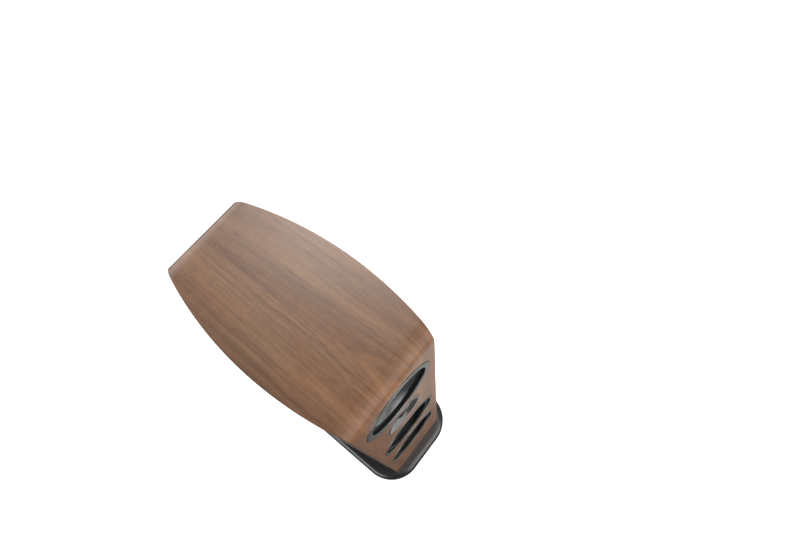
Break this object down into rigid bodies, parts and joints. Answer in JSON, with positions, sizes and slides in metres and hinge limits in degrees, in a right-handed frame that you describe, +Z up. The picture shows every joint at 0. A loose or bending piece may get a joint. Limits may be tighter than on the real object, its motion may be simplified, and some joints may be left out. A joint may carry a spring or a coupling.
{
  "type": "floorstanding loudspeaker",
  "caption": "Tall walnut-veneered floorstanding loudspeaker with bowed sides, rounded top edges, round dished drivers on the front, binding posts behind and a black plinth.",
  "frame": {"origin": "on the floor, under the middle of the plinth", "axes": "+Z up; the front with the drivers faces -Y; +X is to the right as seen from in front"},
  "size_m": [0.278, 0.4579, 0.942],
  "materials": {
    "walnut_veneer": "satin open-pore walnut veneer",
    "fibreboard": "raw fibreboard",
    "plinth_black": "black satin lacquer",
    "silver_trim": "fine satin",
    "cone_grey": "satin anodised",
    "cone_black": "satin",
    "surround_rubber": "matt",
    "basket_metal": "painted black casting",
    "magnet_ferrite": "matt",
    "spider_cloth": "impregnated cloth",
    "voice_coil": "enamelled copper winding",
    "dome_metal": "satin",
    "post_gold": "polished gold plate",
    "post_copper": "polished copper-gold plate",
    "collar_black": "satin",
    "ring_red": "gloss",
    "ring_black": "gloss",
    "board_green": "satin",
    "coil_copper": "enamelled wire",
    "capacitor": "satin film wrap",
    "wire_insulation": "matt",
    "foot_rubber": "matt",
    "foot_steel": "zinc plated"
  },
  "bodies": {
    "cabinet": {"front_baffle": "walnut_veneer", "top_panel": "walnut_veneer", "rear_panel": "walnut_veneer", "left_side_panel": "walnut_veneer", "right_side_panel": "walnut_veneer", "bottom_panel": "fibreboard", "chamber_shelf": "fibreboard", "window_brace": "fibreboard", "plinth": "plinth_black", "midrange_trim_ring": "silver_trim", "midrange_basket": "basket_metal", "midrange_magnet": "magnet_ferrite", "midrange_surround": "surround_rubber", "midrange_spider": "spider_cloth", "upper_woofer_trim_ring": "silver_trim", "upper_woofer_basket": "basket_metal", "upper_woofer_magnet": "magnet_ferrite", "upper_woofer_surround": "surround_rubber", "upper_woofer_spider": "spider_cloth", "lower_woofer_trim_ring": "silver_trim", "lower_woofer_basket": "basket_metal", "lower_woofer_magnet": "magnet_ferrite", "lower_woofer_surround": "surround_rubber", "lower_woofer_spider": "spider_cloth", "tweeter_faceplate": "silver_trim", "tweeter_surround": "surround_rubber", "tweeter_magnet": "magnet_ferrite", "positive_collar": "collar_black", "positive_post": "post_gold", "negative_collar": "collar_black", "negative_post": "post_gold", "crossover_board": "board_green", "woofer_inductor": "coil_copper", "midrange_inductor": "coil_copper", "woofer_capacitor": "capacitor", "tweeter_capacitor": "capacitor", "wiring_harness": "wire_insulation", "input_lead": "wire_insulation"},
    "midrange_moving_assembly": {"midrange_cone": "cone_grey", "midrange_voice_coil": "voice_coil"},
    "upper_woofer_moving_assembly": {"upper_woofer_cone": "cone_black", "upper_woofer_voice_coil": "voice_coil"},
    "lower_woofer_moving_assembly": {"lower_woofer_cone": "cone_black", "lower_woofer_voice_coil": "voice_coil"},
    "tweeter_moving_assembly": {"tweeter_dome": "dome_metal", "tweeter_voice_coil": "voice_coil"},
    "positive_clamp_washer": {"positive_washer": "post_gold"},
    "positive_clamp_knob": {"positive_knob": "post_copper", "positive_ring": "ring_red"},
    "negative_clamp_washer": {"negative_washer": "post_gold"},
    "negative_clamp_knob": {"negative_knob": "post_gold", "negative_ring": "ring_black"},
    "foot_front_left_pad": {"foot_front_left_pad": "foot_rubber"},
    "foot_front_left_stud": {"foot_front_left_stud": "foot_steel"},
    "foot_front_right_pad": {"foot_front_right_pad": "foot_rubber"},
    "foot_front_right_stud": {"foot_front_right_stud": "foot_steel"},
    "foot_rear_left_pad": {"foot_rear_left_pad": "foot_rubber"},
    "foot_rear_left_stud": {"foot_rear_left_stud": "foot_steel"},
    "foot_rear_right_pad": {"foot_rear_right_pad": "foot_rubber"},
    "foot_rear_right_stud": {"foot_rear_right_stud": "foot_steel"}
  },
  "joints": [
    {"name": "midrange_cone_travel", "type": "slide", "parent": "cabinet", "child": "midrange_moving_assembly", "axis": [0, -1, 0], "range_m": [-0.003, 0.003], "stiffness_N_per_m": 1500, "deforming": ["midrange_surround", "midrange_spider"]},
    {"name": "upper_woofer_cone_travel", "type": "slide", "parent": "cabinet", "child": "upper_woofer_moving_assembly", "axis": [0, -1, 0], "range_m": [-0.006, 0.006], "stiffness_N_per_m": 1200, "deforming": ["upper_woofer_surround", "upper_woofer_spider"]},
    {"name": "lower_woofer_cone_travel", "type": "slide", "parent": "cabinet", "child": "lower_woofer_moving_assembly", "axis": [0, -1, 0], "range_m": [-0.006, 0.006], "stiffness_N_per_m": 1200, "deforming": ["lower_woofer_surround", "lower_woofer_spider"]},
    {"name": "tweeter_dome_travel", "type": "slide", "parent": "cabinet", "child": "tweeter_moving_assembly", "axis": [0, -1, 0], "range_m": [-0.0005, 0.0005], "stiffness_N_per_m": 200, "deforming": ["tweeter_surround"]},
    {"name": "positive_washer_slide", "type": "slide", "parent": "cabinet", "child": "positive_clamp_washer", "axis": [0, 1, 0], "range_m": [0, 0.006]},
    {"name": "positive_knob_turn", "type": "hinge", "parent": "positive_clamp_washer", "child": "positive_clamp_knob", "pos_m": [-0.015, 0.20875, 0.117], "axis": [0, 1, 0], "range_deg": [0, 2160]},
    {"name": "negative_washer_slide", "type": "slide", "parent": "cabinet", "child": "negative_clamp_washer", "axis": [0, 1, 0], "range_m": [0, 0.006]},
    {"name": "negative_knob_turn", "type": "hinge", "parent": "negative_clamp_washer", "child": "negative_clamp_knob", "pos_m": [0.015, 0.20875, 0.117], "axis": [0, 1, 0], "range_deg": [0, 2160]},
    {"name": "foot_front_left_lift", "type": "slide", "parent": "cabinet", "child": "foot_front_left_pad", "axis": [0, 0, -1], "range_m": [0, 0.0075]},
    {"name": "foot_front_left_turn", "type": "hinge", "parent": "foot_front_left_pad", "child": "foot_front_left_stud", "pos_m": [-0.091, -0.1805, 0.01], "axis": [0, 0, -1], "range_deg": [0, 2160]},
    {"name": "foot_front_right_lift", "type": "slide", "parent": "cabinet", "child": "foot_front_right_pad", "axis": [0, 0, -1], "range_m": [0, 0.0075]},
    {"name": "foot_front_right_turn", "type": "hinge", "parent": "foot_front_right_pad", "child": "foot_front_right_stud", "pos_m": [0.091, -0.1805, 0.01], "axis": [0, 0, -1], "range_deg": [0, 2160]},
    {"name": "foot_rear_left_lift", "type": "slide", "parent": "cabinet", "child": "foot_rear_left_pad", "axis": [0, 0, -1], "range_m": [0, 0.0075]},
    {"name": "foot_rear_left_turn", "type": "hinge", "parent": "foot_rear_left_pad", "child": "foot_rear_left_stud", "pos_m": [-0.091, 0.1805, 0.01], "axis": [0, 0, -1], "range_deg": [0, 2160]},
    {"name": "foot_rear_right_lift", "type": "slide", "parent": "cabinet", "child": "foot_rear_right_pad", "axis": [0, 0, -1], "range_m": [0, 0.0075]},
    {"name": "foot_rear_right_turn", "type": "hinge", "parent": "foot_rear_right_pad", "child": "foot_rear_right_stud", "pos_m": [0.091, 0.1805, 0.01], "axis": [0, 0, -1], "range_deg": [0, 2160]}
  ],
  "couplings": [
    {"joint": "positive_knob_turn", "follows": "positive_washer_slide", "rad_per_m": 6283.2},
    {"joint": "negative_knob_turn", "follows": "negative_washer_slide", "rad_per_m": 6283.2},
    {"joint": "foot_front_left_turn", "follows": "foot_front_left_lift", "rad_per_m": 5026.5},
    {"joint": "foot_front_right_turn", "follows": "foot_front_right_lift", "rad_per_m": 5026.5},
    {"joint": "foot_rear_left_turn", "follows": "foot_rear_left_lift", "rad_per_m": 5026.5},
    {"joint": "foot_rear_right_turn", "follows": "foot_rear_right_lift", "rad_per_m": 5026.5}
  ]
}
